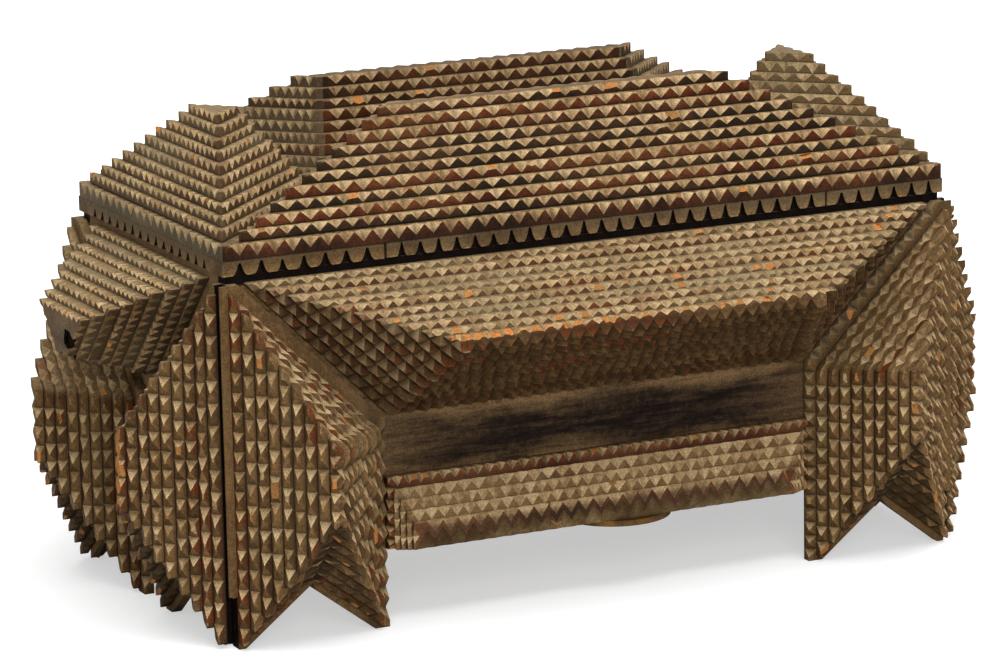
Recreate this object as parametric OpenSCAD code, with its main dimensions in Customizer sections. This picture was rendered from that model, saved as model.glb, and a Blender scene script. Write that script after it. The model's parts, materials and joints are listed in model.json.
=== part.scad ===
// Tramp art box: a lidded case on four corner legs, every face built up in stepped layers of thin wood.
// Front is -Y, back is +Y, floor is Z = 0. Sizes in millimetres.

/* [Lid] */
// Lid width, left to right
lid_w = 330; // [300:1:370]
// Lid depth, front to back
lid_d = 158; // [152:1:180]
// Lid panel thickness
lid_panel_t = 6.6; // [5:0.2:9]
// Lid rim strip height
rim_h = 6.4; // [6:0.2:9]
// Lid rim strip width
rim_w = 12; // [11:0.5:18]
// Open joint between the pieces of the front rim
rim_joint = 1.2; // [0.4:0.2:3]
// Length of the left piece of the front rim
rim_left_len = 70; // [40:1:90]
// Length of the right piece of the front rim
rim_right_len = 56; // [40:1:90]

/* [Lid stacks] */
// Layers in each lid stack
lid_layers = 10; // [5:1:10]
// Layer thickness, front and back lid stack
lid_layer_t = 4.2; // [3:0.1:5.5]
// Step from layer to layer, front and back lid stack
lid_step = 3.45; // [2.4:0.05:3.5]
// Layer thickness, left and right lid stack
lid_end_layer_t = 4.0; // [3:0.1:5.5]
// Step from layer to layer, left and right lid stack
lid_end_step = 2.6; // [1.8:0.1:2.8]

/* [Case] */
// Height of the wall tops above the floor
case_h = 152; // [146:1:165]
// Wall thickness
wall_t = 7; // [6:0.5:9]
// Lid overhang past the walls
lid_overhang = 1.5; // [0.5:0.5:3]
// Height of the lower edge of the walls above the floor
wall_z = 32; // [28:1:36]
// Thickness of the case bottom board and the compartment floor
board_t = 4.5; // [3.5:0.5:6]
// Section of the two cleats under the compartment floor
cleat = 5; // [4:0.5:7]
// Drop of the layered trim below the wall tops
trim_drop = 3; // [2.6:0.2:5]

/* [Legs] */
// Leg board width on each face
leg_w = 70; // [68:1:74]
// Leg board thickness
leg_board_t = 4.3; // [3.5:0.1:6]
// Flat at the top of a leg board
leg_top_flat = 8; // [5:0.5:12]
// Height of the notch between two feet
leg_notch_h = 22; // [16:1:26]
// Width of the flat under each foot
foot_w = 6.5; // [5:0.5:8]
// Layers in each leg stack
leg_layers = 9; // [4:1:9]
// Layer thickness in the leg stacks
leg_layer_t = 3.65; // [2.5:0.05:4.2]
// Step on the upright edges of the leg stacks
leg_step = 3.6; // [2.8:0.05:3.65]
// Width of the plain strip along the slanted edge of a leg board
leg_strip_w = 5; // [3:0.5:7]
// Step on the slanted edge of the leg stacks
leg_slant_step = 2.4; // [1.5:0.1:2.8]
// Step on the lower edges of the leg stacks
leg_low_step = 2.9; // [2:0.1:3.2]

/* [Wall stacks] */
// Distance from a case corner to the top corner of the front or back stack
stack_margin = 7; // [6:0.5:14]
// Height of the front and back stack
stack_h = 61; // [58:1:66]
// Layers in the front and back stack
stack_layers = 10; // [5:1:10]
// Layer thickness in the front and back stack
stack_layer_t = 4.6; // [3:0.1:5.5]
// Step on the upper edge of the front and back stack
stack_top_step = 2.4; // [1.5:0.1:2.6]
// Step on the slanted and lower edges of the front and back stack
stack_step = 3.6; // [2.5:0.1:3.7]
// Distance from a case corner to the top corner of the left or right stack
end_stack_margin = 15.5; // [13:0.5:18]
// Height of the left and right stack
end_stack_h = 51; // [46:1:53]
// Layers in the left and right stack
end_layers = 9; // [5:1:9]
// Layer thickness in the left and right stack
end_layer_t = 4.6; // [3:0.1:5.5]
// Step on the upper edge of the left and right stack
end_top_step = 2.5; // [1.5:0.1:3]
// Step on the slanted edges of the left and right stack
end_side_step = 1.55; // [1:0.05:1.7]
// Step on the lower edge of the left and right stack
end_low_step = 1.5; // [1.3:0.1:1.8]

/* [Drawer] */
// Height of the drawer opening
drawer_open_h = 23; // [21:1:27]
// Lap of the drawer front over each side of the opening
drawer_lap = 6; // [4:0.5:9]
// Side clearance of the drawer, in the opening and between the legs
drawer_gap = 0.6; // [0.4:0.1:1.2]
// Lap of the drawer front over the top of the opening
drawer_top_lap = 2.5; // [1.5:0.5:5]
// Free height over the drawer sides
drawer_top_gap = 1.5; // [1:0.5:3]
// Space between the drawer back and the back wall
drawer_back_gap = 9; // [4:1:24]
// Thickness of the drawer front, sides and back
drawer_board_t = 4.5; // [3.5:0.5:6]
// Thickness of the drawer bottom
drawer_bottom_t = 3; // [2:0.5:4]
// Height of the drawer bottom above the case bottom board
drawer_bottom_lift = 1.5; // [1:0.5:3]
// Layers on the drawer front
drawer_layers = 4; // [2:1:4]
// Layer thickness on the drawer front
drawer_layer_t = 1.2; // [0.8:0.1:3]
// Step on the upper edge of the drawer layers
drawer_step = 4.6; // [3:0.1:5]
// Step on the ends of the drawer layers
drawer_end_step = 2.2; // [1:0.1:4]
// Width of the drawer guides
guide_w = 6; // [5:0.5:8]
// Height of the drawer guides
guide_h = 12; // [8:1:16]

/* [Pull tab] */
// Radius of the rounded edge of the pull tab
tab_r = 24; // [18:1:30]
// Reach of the tab in front of the foremost drawer layer
tab_reach = 3.2; // [2:0.2:6]
// Distance of the tab to the right of the middle
tab_x = 13; // [-20:1:20]
// Space between the tab and the front wall
tab_back_gap = 0.5; // [0.3:0.1:1]
// Thickness of the pull tab
tab_t = 2.4; // [1.5:0.1:3]
// Distance of each tack from the middle of the tab
tack_x = 12; // [8:1:14]
// Tack shank radius
tack_r = 0.7; // [0.5:0.1:0.9]
// Tack head radius
tack_head_r = 1.6; // [1.2:0.1:1.8]
// Tack head height
tack_head_h = 0.8; // [0.5:0.1:1.2]
// Length of a tack into the drawer front
tack_len = 6; // [4:0.5:8]

/* [Hinges] */
// Distance of each hinge from the middle
hinge_x = 100; // [70:1:120]
// Hinge length
hinge_len = 26; // [22:1:34]
// Hinge leaf thickness
leaf_t = 1.2; // [0.8:0.1:1.5]
// Leaf width let into the wall top
leaf_in = 6; // [5:0.5:6]
// Outer radius of the knuckles
knuckle_r = 2.2; // [2:0.1:2.4]
// Space between the lid edge and the knuckles
knuckle_gap = 0.8; // [0.5:0.1:1.5]
// Hinge pin radius
pin_r = 1.1; // [0.8:0.1:1.2]
// Screw shank radius
screw_r = 0.9; // [0.7:0.1:1.1]
// Screw head radius
screw_head_r = 1.7; // [1.5:0.1:1.9]
// Distance of a screw from the end of its hinge
screw_inset = 5; // [4:0.5:7]
// Screw length into the case
screw_len_case = 9; // [6:0.5:12]
// Screw length into the lid rim
screw_len_lid = 5; // [4:0.5:5.5]

/* [Clearances] */
// Radial running clearance of the hinge pins
pin_clear = 0.05; // [0.02:0.01:0.08]
// Clearance of hinge leaves in their recesses and between knuckles
leaf_clear = 0.2; // [0.15:0.05:0.4]
// Radial clearance of screws and tacks in their holes
hole_clear = 0.05; // [0.02:0.01:0.1]

/* [Hidden] */
$fn = 48;
cut = 1;

case_x = lid_w / 2 - lid_overhang;
case_y = lid_d / 2 - lid_overhang;
in_x = case_x - wall_t;
in_y = case_y - wall_t;
corner_x = case_x + leg_board_t;
corner_y = case_y + leg_board_t;
trim_z = case_h - trim_drop;

panel_z = case_h + rim_h;
lid_top_z = panel_z + lid_panel_t;

bottom_top_z = wall_z + board_t;
open_top_z = bottom_top_z + drawer_open_h;
floor_z = open_top_z + cleat;
floor_top_z = floor_z + board_t;

front_half = corner_x - leg_w - drawer_gap;
open_half = front_half - drawer_lap;
drawer_half = open_half - drawer_gap;
drawer_in = drawer_half - drawer_board_t;
drawer_y0 = -case_y;
drawer_y1 = in_y - drawer_back_gap;
drawer_top_z = open_top_z - drawer_top_gap;
drawer_floor_z = bottom_top_z + drawer_bottom_lift;
drawer_floor_top_z = drawer_floor_z + drawer_bottom_t;
front_low_z = wall_z;
front_top_z = open_top_z + drawer_top_lap;
layers_y = drawer_y0 - drawer_board_t;
layers_front_y = layers_y - drawer_layers * drawer_layer_t;

tab_y = layers_front_y - tab_reach + tab_r;
tab_back_y = drawer_y0 - tab_back_gap;
tack_y = drawer_y0 - drawer_board_t / 2;

leg_rise = leg_notch_h / (leg_w / 2 - foot_w);
foot_point_z = -leg_rise * foot_w;

axis_y = lid_d / 2 + knuckle_gap + knuckle_r;
axis_z = case_h;
leaf_y = case_y - leaf_in;
leaf_stop_y = axis_y - knuckle_r - leaf_clear;
knuckle_len = hinge_len / 3;
screw_y = case_y - leaf_in / 2;
screw_x = hinge_len / 2 - screw_inset;
screw_head_h = leaf_t;

wood = [0.45, 0.33, 0.21];
wood_dark = [0.30, 0.21, 0.14];
wood_light = [0.62, 0.48, 0.32];
brass = [0.72, 0.58, 0.30];

// Outlines are lists of points in anticlockwise order; edge i runs from point i to point i + 1.
function edge_normal(p, i) =
  let (a = p[i], b = p[(i + 1) % len(p)], d = b - a) [-d[1], d[0]] / norm(d);

function edge_shift(p, i, steps) = edge_normal(p, i) * p[i] + steps[i];

function meet(n1, c1, n2, c2) =
  let (det = n1[0] * n2[1] - n1[1] * n2[0])
  [(c1 * n2[1] - c2 * n1[1]) / det, (n1[0] * c2 - n2[0] * c1) / det];

// An outline with edge i moved inwards by steps[i]
function inset(p, steps) = [
  for (i = [0 : len(p) - 1])
    let (j = (i + len(p) - 1) % len(p))
    meet(edge_normal(p, j), edge_shift(p, j, steps), edge_normal(p, i), edge_shift(p, i, steps))
];

function cross_at(a, b, v) = a + (b - a) * (v - a[1]) / (b[1] - a[1]);

// The part of an outline whose second coordinate is at least v, or at most v with sense = -1
function clip(p, v, sense) = [
  for (i = [0 : len(p) - 1])
    let (
      a = p[i],
      b = p[(i + 1) % len(p)],
      a_in = sense * (a[1] - v) >= 0,
      b_in = sense * (b[1] - v) >= 0,
      found = concat(a_in ? [a] : [], a_in != b_in ? [cross_at(a, b, v)] : [])
    )
    for (q = found) q
];

function scaled(steps, k) = [for (s = steps) s * k];

// Outlines on the faces of the case: first coordinate along the face, second one height
function wall_stack_outline(half, height) = [
  [-half, trim_z],
  [-half + height, trim_z - height],
  [half - height, trim_z - height],
  [half, trim_z]
];

// Leg outline with its corner edge on the line u = 0 and its body towards negative u
function leg_raw() = [
  [0, trim_z + leg_top_flat],
  [-leg_w, trim_z + leg_top_flat - leg_w],
  [-leg_w, foot_point_z],
  [-leg_w / 2, leg_notch_h],
  [0, foot_point_z]
];

// How far the slanted, inner, two lower and corner edges of layer k lie inside the board, which is k = 0
function leg_steps(k) =
  let (slanted = k == 0 ? 0 : leg_strip_w + (k - 1) * leg_slant_step)
  [slanted, k * leg_step, k * leg_low_step, k * leg_low_step, k * leg_step];

function leg_outline(k) = clip(clip(inset(leg_raw(), leg_steps(k)), trim_z, -1), 0, 1);

function moved(p, du) = [for (q = p) [q[0] + du, q[1]]];

// A plate on a front face: outline in x and z, back face at y, thickness t towards the front
module front_plate(p, y, t) translate([0, y, 0]) rotate([90, 0, 0]) linear_extrude(t) polygon(p);

// A plate on a right face: outline in y and z, inner face at x, thickness t to the right
module right_plate(p, x, t) translate([x, 0, 0]) rotate([90, 0, 90]) linear_extrude(t) polygon(p);

module block(lo, hi) translate(lo) cube(hi - lo);

// Walls and boards of the case
module front_wall() {
  color(wood_dark) difference() {
    block([-case_x, -case_y, wall_z], [case_x, -in_y, case_h]);
    block([-open_half, -case_y - cut, wall_z - cut], [open_half, -in_y + cut, open_top_z]);
  }
}

module leaf_recess(z0, z1) {
  for (s = [-1, 1])
    block(
      [s * hinge_x - hinge_len / 2 - leaf_clear, leaf_y - leaf_clear, z0],
      [s * hinge_x + hinge_len / 2 + leaf_clear, lid_d / 2 + cut, z1]
    );
}

module back_wall() {
  color(wood_dark) difference() {
    block([-case_x, in_y, wall_z], [case_x, case_y, case_h]);
    leaf_recess(case_h - leaf_t, case_h + cut);
    screws_case(hole_clear);
  }
}

module right_wall() color(wood_dark) block([in_x, -in_y, wall_z], [case_x, in_y, case_h]);
module left_wall() mirror([1, 0, 0]) right_wall();

module case_bottom() {
  color(wood_dark) {
    block([-in_x, -in_y, wall_z], [in_x, in_y, bottom_top_z]);
    block([-open_half, -case_y, wall_z], [open_half, -in_y, bottom_top_z]);
  }
}

module compartment_floor() color(wood_dark) block([-in_x, -in_y, floor_z], [in_x, in_y, floor_top_z]);

module floor_cleats() {
  color(wood_dark) for (s = [0, 1])
    mirror([s, 0, 0]) block([in_x - cleat, -in_y, open_top_z], [in_x, in_y, floor_z]);
}

module drawer_guides() {
  color(wood_dark) for (s = [0, 1])
    mirror([s, 0, 0])
      block([open_half, -in_y, bottom_top_z], [open_half + guide_w, in_y, bottom_top_z + guide_h]);
}

// Stepped stacks on the walls
module front_wall_stack() {
  outline = wall_stack_outline(case_x - stack_margin, stack_h);
  steps = [stack_step, stack_step, stack_step, stack_top_step];
  color(wood) for (k = [0 : stack_layers - 1])
    front_plate(inset(outline, scaled(steps, k)), -case_y - k * stack_layer_t, stack_layer_t);
}
module back_wall_stack() mirror([0, 1, 0]) front_wall_stack();

module right_wall_stack() {
  outline = wall_stack_outline(case_y - end_stack_margin, end_stack_h);
  steps = [end_side_step, end_low_step, end_side_step, end_top_step];
  color(wood) for (k = [0 : end_layers - 1])
    right_plate(inset(outline, scaled(steps, k)), case_x + k * end_layer_t, end_layer_t);
}
module left_wall_stack() mirror([1, 0, 0]) right_wall_stack();

// Legs: the board on the front or back face laps the end of the board on the side face
module front_right_leg_front_board() {
  color(wood) front_plate(moved(leg_outline(0), corner_x), -case_y, leg_board_t);
}

module front_right_leg_side_board() {
  color(wood) difference() {
    mirror([0, 1, 0]) right_plate(moved(leg_outline(0), corner_y), case_x, leg_board_t);
    block([case_x - cut, -corner_y - cut, -cut], [corner_x + cut, -case_y, case_h]);
  }
}

module front_right_leg_front_stack() {
  color(wood) for (k = [1 : leg_layers])
    front_plate(moved(leg_outline(k), corner_x), -corner_y - (k - 1) * leg_layer_t, leg_layer_t);
}

module front_right_leg_side_stack() {
  color(wood) mirror([0, 1, 0]) for (k = [1 : leg_layers])
    right_plate(moved(leg_outline(k), corner_y), corner_x + (k - 1) * leg_layer_t, leg_layer_t);
}

module front_left_leg_front_board() mirror([1, 0, 0]) front_right_leg_front_board();
module front_left_leg_side_board() mirror([1, 0, 0]) front_right_leg_side_board();
module front_left_leg_front_stack() mirror([1, 0, 0]) front_right_leg_front_stack();
module front_left_leg_side_stack() mirror([1, 0, 0]) front_right_leg_side_stack();
module back_right_leg_back_board() mirror([0, 1, 0]) front_right_leg_front_board();
module back_right_leg_side_board() mirror([0, 1, 0]) front_right_leg_side_board();
module back_right_leg_back_stack() mirror([0, 1, 0]) front_right_leg_front_stack();
module back_right_leg_side_stack() mirror([0, 1, 0]) front_right_leg_side_stack();
module back_left_leg_back_board() mirror([0, 1, 0]) front_left_leg_front_board();
module back_left_leg_side_board() mirror([0, 1, 0]) front_left_leg_side_board();
module back_left_leg_back_stack() mirror([0, 1, 0]) front_left_leg_front_stack();
module back_left_leg_side_stack() mirror([0, 1, 0]) front_left_leg_side_stack();

// Lid
module lid_panel() {
  color(wood) block([-lid_w / 2, -lid_d / 2, panel_z], [lid_w / 2, lid_d / 2, lid_top_z]);
}

module rim_front_piece(x0, x1) {
  color(wood) block([x0, -lid_d / 2, case_h], [x1, -lid_d / 2 + rim_w, panel_z]);
}
module rim_front_left() rim_front_piece(-lid_w / 2, -lid_w / 2 + rim_left_len);
module rim_front_middle() {
  rim_front_piece(-lid_w / 2 + rim_left_len + rim_joint, lid_w / 2 - rim_right_len - rim_joint);
}
module rim_front_right() rim_front_piece(lid_w / 2 - rim_right_len, lid_w / 2);

module rim_back() {
  color(wood) difference() {
    block([-lid_w / 2, lid_d / 2 - rim_w, case_h], [lid_w / 2, lid_d / 2, panel_z]);
    leaf_recess(case_h - cut, case_h + leaf_t);
    screws_lid(hole_clear);
  }
}

module rim_right() {
  color(wood) block(
    [lid_w / 2 - rim_w, -lid_d / 2 + rim_w, case_h],
    [lid_w / 2, lid_d / 2 - rim_w, panel_z]
  );
}
module rim_left() mirror([1, 0, 0]) rim_right();

// Lid stacks: the plan is parted along the middle line and along 45 degree lines from the corners
module lid_front_stack() {
  w = lid_w / 2;
  d = lid_d / 2;
  outline = [[-w, -d], [w, -d], [w - d, 0], [-w + d, 0]];
  color(wood) for (k = [1 : lid_layers])
    translate([0, 0, lid_top_z + (k - 1) * lid_layer_t])
      linear_extrude(lid_layer_t) polygon(inset(outline, scaled([1, 1, 1, 1], k * lid_step)));
}
module lid_back_stack() mirror([0, 1, 0]) lid_front_stack();

module lid_right_stack() {
  w = lid_w / 2;
  d = lid_d / 2;
  outline = [[w, -d], [w, d], [w - d, 0]];
  color(wood) for (k = [1 : lid_layers])
    translate([0, 0, lid_top_z + (k - 1) * lid_end_layer_t])
      linear_extrude(lid_end_layer_t) polygon(inset(outline, scaled([1, 1, 1], k * lid_end_step)));
}
module lid_left_stack() mirror([1, 0, 0]) lid_right_stack();

// Drawer
module drawer_front() {
  color(wood) difference() {
    block([-front_half, layers_y, front_low_z], [front_half, drawer_y0, front_top_z]);
    tacks(hole_clear);
  }
}

module drawer_front_layers() {
  outline = [
    [-front_half, front_low_z], [front_half, front_low_z],
    [front_half, front_top_z], [-front_half, front_top_z]
  ];
  steps = [0, drawer_end_step, drawer_step, drawer_end_step];
  color(wood) for (k = [1 : drawer_layers])
    front_plate(inset(outline, scaled(steps, k)), layers_y - (k - 1) * drawer_layer_t, drawer_layer_t);
}

module drawer_right_side() {
  color(wood_light)
    block([drawer_in, drawer_y0, bottom_top_z], [drawer_half, drawer_y1, drawer_top_z]);
}
module drawer_left_side() mirror([1, 0, 0]) drawer_right_side();

module drawer_bottom() {
  color(wood_light)
    block([-drawer_in, drawer_y0, drawer_floor_z], [drawer_in, drawer_y1, drawer_floor_top_z]);
}

module drawer_back() {
  color(wood_light)
    block(
      [-drawer_in, drawer_y1 - drawer_board_t, drawer_floor_top_z],
      [drawer_in, drawer_y1, drawer_top_z]
    );
}

// Pull tab: the front part of a disc under the drawer front, cut straight in front of the wall
module pull_tab() {
  color(brass) difference() {
    translate([tab_x, tab_y, front_low_z - tab_t]) cylinder(h = tab_t, r = tab_r, $fn = 96);
    block(
      [tab_x - tab_r - cut, tab_back_y, front_low_z - tab_t - cut],
      [tab_x + tab_r + cut, tab_y + tab_r + cut, front_low_z + cut]
    );
    tacks(hole_clear);
  }
}

module tacks(grow) {
  for (s = [-1, 1]) translate([tab_x + s * tack_x, tack_y, front_low_z - tab_t]) {
    cylinder(h = tab_t + tack_len + grow, r = tack_r + grow);
    translate([0, 0, -tack_head_h]) cylinder(h = tack_head_h, r = tack_head_r);
  }
}
module tab_tacks() color(brass) tacks(0);

// Hinges: the case leaf carries the two outer knuckles, the lid leaf the middle one
module knuckle(x0, x1) {
  translate([x0, axis_y, axis_z]) rotate([0, 90, 0]) cylinder(h = x1 - x0, r = knuckle_r);
}

module pin_bore(x) {
  translate([x - hinge_len / 2 - cut, axis_y, axis_z]) rotate([0, 90, 0])
    cylinder(h = hinge_len + 2 * cut, r = pin_r + pin_clear);
}

module leaf_web(x0, x1, z0) block([x0, leaf_stop_y - leaf_clear, z0], [x1, axis_y, z0 + leaf_t]);

module case_leaf(x) {
  z0 = case_h - leaf_t;
  h = hinge_len / 2;
  difference() {
    union() {
      block([x - h, leaf_y, z0], [x + h, leaf_stop_y, case_h]);
      leaf_web(x - h, x - h + knuckle_len, z0);
      leaf_web(x + h - knuckle_len, x + h, z0);
      knuckle(x - h, x - h + knuckle_len);
      knuckle(x + h - knuckle_len, x + h);
    }
    pin_bore(x);
  }
}

module lid_leaf(x) {
  h = hinge_len / 2;
  m = knuckle_len / 2 - leaf_clear;
  difference() {
    union() {
      block([x - h, leaf_y, case_h], [x + h, leaf_stop_y, case_h + leaf_t]);
      leaf_web(x - m, x + m, case_h);
      knuckle(x - m, x + m);
    }
    pin_bore(x);
  }
}

module case_hinge_leaves() {
  color(brass) difference() {
    for (s = [-1, 1]) case_leaf(s * hinge_x);
    screws_case(hole_clear);
  }
}

module lid_hinge_leaves() {
  color(brass) difference() {
    for (s = [-1, 1]) lid_leaf(s * hinge_x);
    screws_lid(hole_clear);
  }
}

module hinge_pins() {
  color(brass) for (s = [-1, 1])
    translate([s * hinge_x - hinge_len / 2, axis_y, axis_z]) rotate([0, 90, 0])
      cylinder(h = hinge_len, r = pin_r);
}

module screw(length, grow) {
  rotate_extrude() polygon([
    [0, grow], [screw_head_r + grow, grow], [screw_head_r + grow, 0],
    [screw_r + grow, -screw_head_h], [screw_r + grow, -length - grow], [0, -length - grow]
  ]);
}

module solid_screw(length) {
  rotate_extrude() polygon([
    [0, 0], [screw_head_r, 0], [screw_r, -screw_head_h], [screw_r, -length], [0, -length]
  ]);
}

module at_screws() {
  for (s = [-1, 1]) for (t = [-1, 1])
    translate([s * hinge_x + t * screw_x, screw_y, case_h]) children();
}

module screws_case(grow) at_screws() screw(screw_len_case, grow);
module screws_lid(grow) at_screws() mirror([0, 0, 1]) screw(screw_len_lid, grow);

module case_hinge_screws() color(brass) at_screws() solid_screw(screw_len_case);
module lid_hinge_screws() color(brass) at_screws() mirror([0, 0, 1]) solid_screw(screw_len_lid);

front_wall();
back_wall();
left_wall();
right_wall();
case_bottom();
compartment_floor();
floor_cleats();
drawer_guides();
front_wall_stack();
back_wall_stack();
left_wall_stack();
right_wall_stack();
front_left_leg_front_board();
front_left_leg_side_board();
front_left_leg_front_stack();
front_left_leg_side_stack();
front_right_leg_front_board();
front_right_leg_side_board();
front_right_leg_front_stack();
front_right_leg_side_stack();
back_left_leg_back_board();
back_left_leg_side_board();
back_left_leg_back_stack();
back_left_leg_side_stack();
back_right_leg_back_board();
back_right_leg_side_board();
back_right_leg_back_stack();
back_right_leg_side_stack();
lid_panel();
rim_front_left();
rim_front_middle();
rim_front_right();
rim_back();
rim_left();
rim_right();
lid_front_stack();
lid_back_stack();
lid_left_stack();
lid_right_stack();
drawer_front();
drawer_front_layers();
drawer_left_side();
drawer_right_side();
drawer_back();
drawer_bottom();
pull_tab();
tab_tacks();
case_hinge_leaves();
lid_hinge_leaves();
hinge_pins();
case_hinge_screws();
lid_hinge_screws();
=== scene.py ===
"""Tramp art box: a lidded case on notched corner legs, every face built up in stepped layers of thin wood.

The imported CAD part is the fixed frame. Each stepped stack gets its knife-cut notches by Geometry Nodes:
wedges are set along every outer arris of every layer and cut out of a copy of the CAD solid.
"""

import json
import math
import random

import bmesh
import bpy
from mathutils import Euler, Matrix, Vector

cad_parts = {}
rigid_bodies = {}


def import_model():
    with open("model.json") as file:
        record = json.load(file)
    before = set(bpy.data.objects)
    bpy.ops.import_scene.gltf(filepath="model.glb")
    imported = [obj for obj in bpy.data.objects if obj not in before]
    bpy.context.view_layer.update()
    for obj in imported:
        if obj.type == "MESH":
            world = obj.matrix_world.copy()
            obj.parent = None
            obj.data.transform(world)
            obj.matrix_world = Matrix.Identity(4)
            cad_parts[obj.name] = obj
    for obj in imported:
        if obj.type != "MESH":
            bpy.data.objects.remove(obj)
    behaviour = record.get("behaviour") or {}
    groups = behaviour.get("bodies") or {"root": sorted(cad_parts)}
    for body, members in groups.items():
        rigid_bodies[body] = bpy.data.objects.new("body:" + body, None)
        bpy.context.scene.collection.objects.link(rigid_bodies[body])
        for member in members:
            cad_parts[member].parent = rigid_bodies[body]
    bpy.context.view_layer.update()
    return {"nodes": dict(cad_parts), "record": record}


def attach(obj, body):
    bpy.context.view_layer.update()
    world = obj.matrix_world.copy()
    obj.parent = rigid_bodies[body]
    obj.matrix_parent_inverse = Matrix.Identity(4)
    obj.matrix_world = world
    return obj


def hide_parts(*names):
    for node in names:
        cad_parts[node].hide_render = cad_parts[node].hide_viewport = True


for thing in list(bpy.data.objects):
    bpy.data.objects.remove(thing)

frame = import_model()
NODES = frame["nodes"]
BODY_OF = {node: body for body, nodes in frame["record"]["behaviour"]["bodies"].items() for node in nodes}

MM = 0.001

# Directions in which the layers of a stack follow each other

UP = Vector((0, 0, 1))
DOWN = Vector((0, 0, -1))
FRONT = Vector((0, -1, 0))
BACK = Vector((0, 1, 0))
LEFT = Vector((-1, 0, 0))
RIGHT = Vector((1, 0, 0))


# Colours as screen values from 0 to 255

def screen_colour(red, green, blue):
    def linear(value):
        share = value / 255
        if share <= 0.04045:
            return share / 12.92
        return ((share + 0.055) / 1.055) ** 2.4

    return (linear(red), linear(green), linear(blue), 1.0)


VARNISH_BLACK = screen_colour(40, 25, 16)
VARNISH_BROWN = screen_colour(80, 53, 30)
VARNISH_RED = screen_colour(88, 37, 17)
VARNISH_RUST = screen_colour(114, 56, 26)
WORN_BROWN = screen_colour(124, 94, 58)
CUT_DARK = screen_colour(138, 108, 72)
CUT_MID = screen_colour(184, 154, 112)
CUT_PALE = screen_colour(213, 186, 143)
# Knife cuts that face down take these colours as painted shade
SHADED_CUT_DARK = screen_colour(60, 42, 22)
SHADED_CUT_PALE = screen_colour(136, 103, 62)
VALLEY_DIRT_AND_SHADE = screen_colour(60, 42, 24)
DUST = screen_colour(158, 134, 98)
GREY_FILM = screen_colour(130, 117, 90)
# Dark brown for grime, and for painted shade on rows that face down
GRIME_AND_SHADE = screen_colour(54, 36, 16)
FRESH_ORANGE = screen_colour(220, 150, 84)
FRESH_BROWN = screen_colour(164, 98, 46)
# Near black: dirt in pores and specks, and painted shade in valleys, seams, gaps and on what faces down
DEEP_DIRT_AND_SHADE = screen_colour(20, 13, 9)
WALL_DARK = screen_colour(23, 15, 13)
WALL_BROWN = screen_colour(90, 66, 44)
WALL_DUST = screen_colour(142, 112, 76)
DRAWER_PALE = screen_colour(164, 122, 80)
DRAWER_BROWN = screen_colour(128, 90, 56)
BRASS = screen_colour(150, 112, 48)
BRASS_DARK = screen_colour(74, 56, 30)
TAB_GOLD = screen_colour(134, 98, 48)
TAB_DARK = screen_colour(72, 52, 28)
GRIT_DARK = (0.58, 0.56, 0.52, 1.0)
PURE_WHITE = (1.0, 1.0, 1.0, 1.0)
FLOOR_PALE = (0.6, 0.6, 0.6, 1.0)


# Node tree helpers

def feed(tree, socket, value):
    """Gives a socket its value, or links it to the socket that the value comes from."""
    if isinstance(value, bpy.types.NodeSocket):
        tree.links.new(value, socket)
    else:
        socket.default_value = value


def put(tree, kind, inputs=None, **settings):
    """A new node with its settings, and its inputs given as values or as sockets to link."""
    node = tree.nodes.new(kind)
    for name, value in settings.items():
        setattr(node, name, value)
    for name, value in (inputs or {}).items():
        feed(tree, node.inputs[name], value)
    return node


def maths(tree, operation, first, second=0.0, third=0.0, clamp=False):
    node = put(tree, "ShaderNodeMath", {0: first, 1: second, 2: third}, operation=operation)
    node.use_clamp = clamp
    return node.outputs[0]


def spread(tree, value, low, high, out_low=0.0, out_high=1.0):
    """The value's way from low to high, eased, as a number from out_low to out_high."""
    inputs = {"Value": value, "From Min": low, "From Max": high, "To Min": out_low, "To Max": out_high}
    return put(tree, "ShaderNodeMapRange", inputs, interpolation_type="SMOOTHSTEP").outputs["Result"]


def blend(tree, factor, first, second, mode="MIX"):
    """Two colours mixed."""
    node = put(tree, "ShaderNodeMix", data_type="RGBA", blend_type=mode, clamp_factor=True)
    for place, value in ((0, factor), (6, first), (7, second)):
        feed(tree, node.inputs[place], value)
    return node.outputs[2]


def ramp(tree, value, stops):
    node = put(tree, "ShaderNodeValToRGB", {"Fac": value})
    band = node.color_ramp.elements
    while len(band) < len(stops):
        band.new(0.5)
    for stop, (place, colour) in zip(band, stops):
        stop.position = place
        stop.color = colour
    return node.outputs["Color"]


def noise(tree, vector, scale, detail=3.0, roughness=0.55):
    inputs = {"Vector": vector, "Scale": scale, "Detail": detail, "Roughness": roughness}
    return put(tree, "ShaderNodeTexNoise", inputs).outputs["Fac"]


def shader_group(name, inputs, outputs):
    group = bpy.data.node_groups.new(name, "ShaderNodeTree")
    for socket, kind in inputs:
        group.interface.new_socket(socket, in_out="INPUT", socket_type=kind)
    for socket, kind in outputs:
        group.interface.new_socket(socket, in_out="OUTPUT", socket_type=kind)
    start = group.nodes.new("NodeGroupInput")
    end = group.nodes.new("NodeGroupOutput")
    return group, start.outputs, end.inputs


NUMBER = "NodeSocketFloat"
COLOUR = "NodeSocketColor"
VECTOR = "NodeSocketVector"


GRAIN_STRETCH = (0.09, 1.0, 1.0)


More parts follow.
